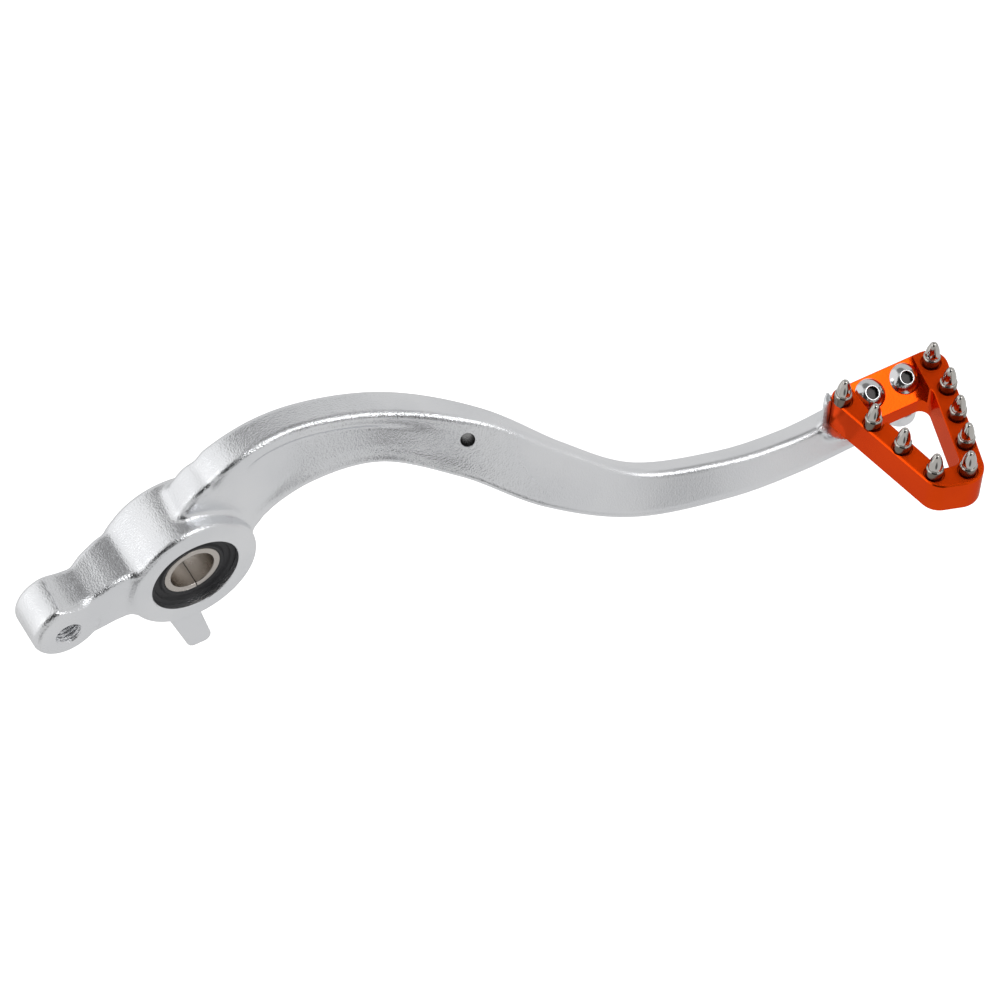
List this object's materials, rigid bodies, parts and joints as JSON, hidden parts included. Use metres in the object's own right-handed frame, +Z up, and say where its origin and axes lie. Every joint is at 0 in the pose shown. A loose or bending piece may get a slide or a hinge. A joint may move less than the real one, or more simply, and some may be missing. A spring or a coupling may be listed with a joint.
{
  "type": "rear brake pedal",
  "caption": "Motorbike rear brake pedal: twisted forged arm on a needle bearing, push-rod eye, stop lug, and a triangular screwed step plate with pointed grip pins.",
  "frame": {"origin": "centre of the pivot sleeve's bore, halfway along the boss", "axes": "+X forward along the pedal to the step plate, +Y along the pivot towards the motorbike, +Z up"},
  "size_m": [0.2747, 0.1128, 0.0809],
  "materials": {
    "forged_aluminium": "satin, fine grain",
    "bearing_steel": "ground",
    "cage_steel": "satin",
    "sleeve_steel": "turned",
    "seal_rubber": "matt",
    "anodised_plate": "orange anodised, gloss",
    "screw_steel": "polished",
    "pin_steel": "polished"
  },
  "bodies": {
    "pivot": {"pivot_sleeve": "sleeve_steel"},
    "pedal": {"arm": "forged_aluminium", "needle_cup": "bearing_steel", "seal_outer": "seal_rubber", "seal_inner": "seal_rubber", "step_plate": "anodised_plate", "step_screw_rear": "screw_steel", "step_screw_front": "screw_steel", "cleat_pin_1": "pin_steel", "cleat_pin_2": "pin_steel", "cleat_pin_3": "pin_steel", "cleat_pin_4": "pin_steel", "cleat_pin_5": "pin_steel", "cleat_pin_6": "pin_steel", "cleat_pin_7": "pin_steel", "cleat_pin_8": "pin_steel", "cleat_pin_9": "pin_steel"},
    "needles": {"needle_cage": "cage_steel", "needle_rollers": "bearing_steel"}
  },
  "joints": [
    {"name": "pedal_pivot", "type": "hinge", "parent": "pivot", "child": "pedal", "pos_m": [0, 0, 0], "axis": [0, 1, 0], "continuous": true},
    {"name": "needle_orbit", "type": "hinge", "parent": "pivot", "child": "needles", "pos_m": [0, 0, 0], "axis": [0, 1, 0], "continuous": true}
  ],
  "couplings": [
    {"joint": "needle_orbit", "follows": "pedal_pivot", "ratio": 0.5513}
  ]
}
